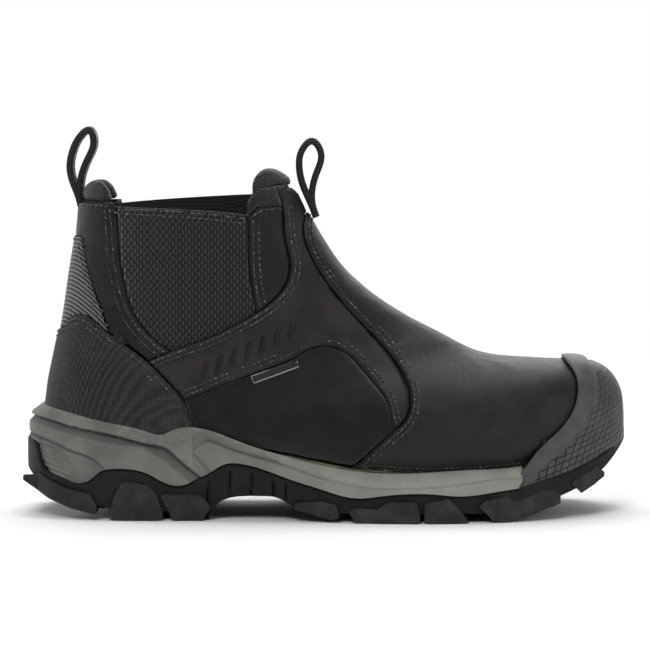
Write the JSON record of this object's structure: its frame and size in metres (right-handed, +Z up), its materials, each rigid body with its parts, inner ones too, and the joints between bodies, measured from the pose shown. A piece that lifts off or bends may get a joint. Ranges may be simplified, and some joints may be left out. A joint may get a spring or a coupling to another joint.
{
  "type": "steel toe work boot",
  "caption": "Black pull-on safety boot with elastic side gores, webbing pull loops, a rubber toe bumper over a steel cap, and a lugged sole.",
  "frame": {"origin": "centre of the bounding box in plan, on the ground plane under the tread", "axes": "+X from heel to toe, -Y the lateral (outer) side of this right boot, +Z up from the ground"},
  "size_m": [0.3087, 0.1081, 0.1961],
  "materials": {
    "vamp_leather": "satin",
    "quarter_leather": "satin",
    "nubuck": "matte",
    "stay_leather": "satin",
    "elastic_gore": "matte",
    "collar_mesh": "matte",
    "webbing": "matte",
    "heel_texture": "matte",
    "ribbed_textile": "matte",
    "bumper_rubber": "matte",
    "outsole_rubber": "matte",
    "midsole_foam": "matte",
    "cap_steel": "satin",
    "shank_steel": "satin",
    "strip_rubber": "matte",
    "counter_board": "matte",
    "lining_knit": "matte",
    "strobel_board": "matte",
    "footbed_foam": "matte",
    "footbed_knit": "matte",
    "tag_weave": "matte"
  },
  "bodies": {
    "boot": {"vamp": "vamp_leather", "lateral_quarter": "quarter_leather", "medial_quarter": "quarter_leather", "lateral_side_panel": "nubuck", "medial_side_panel": "nubuck", "lateral_gore": "elastic_gore", "medial_gore": "elastic_gore", "lateral_front_stay": "stay_leather", "medial_front_stay": "stay_leather", "lateral_collar_mesh": "collar_mesh", "medial_collar_mesh": "collar_mesh", "backstay": "stay_leather", "achilles_patch": "ribbed_textile", "heel_cover": "heel_texture", "rear_collar_pad": "collar_mesh", "front_collar_pad": "collar_mesh", "side_tag": "tag_weave", "toe_bumper": "bumper_rubber", "steel_toe_cap": "cap_steel", "toe_cap_edge_strip": "strip_rubber", "heel_counter": "counter_board", "lateral_lining": "lining_knit", "medial_lining": "lining_knit", "insole_board": "strobel_board", "shank": "shank_steel", "midsole": "midsole_foam", "outsole": "outsole_rubber"},
    "rear_loop": {"rear_pull_loop": "webbing"},
    "front_loop": {"front_pull_loop": "webbing"},
    "removable_footbed": {"footbed": "footbed_foam", "footbed_top_cloth": "footbed_knit"}
  },
  "joints": [
    {"name": "rear_loop_hinge", "type": "hinge", "parent": "boot", "child": "rear_loop", "pos_m": [-0.1256, 0, 0.1612], "axis": [0, 1, 0], "range_deg": [-60, 3], "stiffness_Nm_per_rad": 0.02},
    {"name": "front_loop_hinge", "type": "hinge", "parent": "boot", "child": "front_loop", "pos_m": [-0.0066, 0, 0.1562], "axis": [0, 1, 0], "range_deg": [-3, 55], "stiffness_Nm_per_rad": 0.02},
    {"name": "footbed_lift", "type": "hinge", "parent": "boot", "child": "removable_footbed", "pos_m": [0.134, 0, 0.036], "axis": [0, 1, 0], "range_deg": [0, 4]}
  ]
}
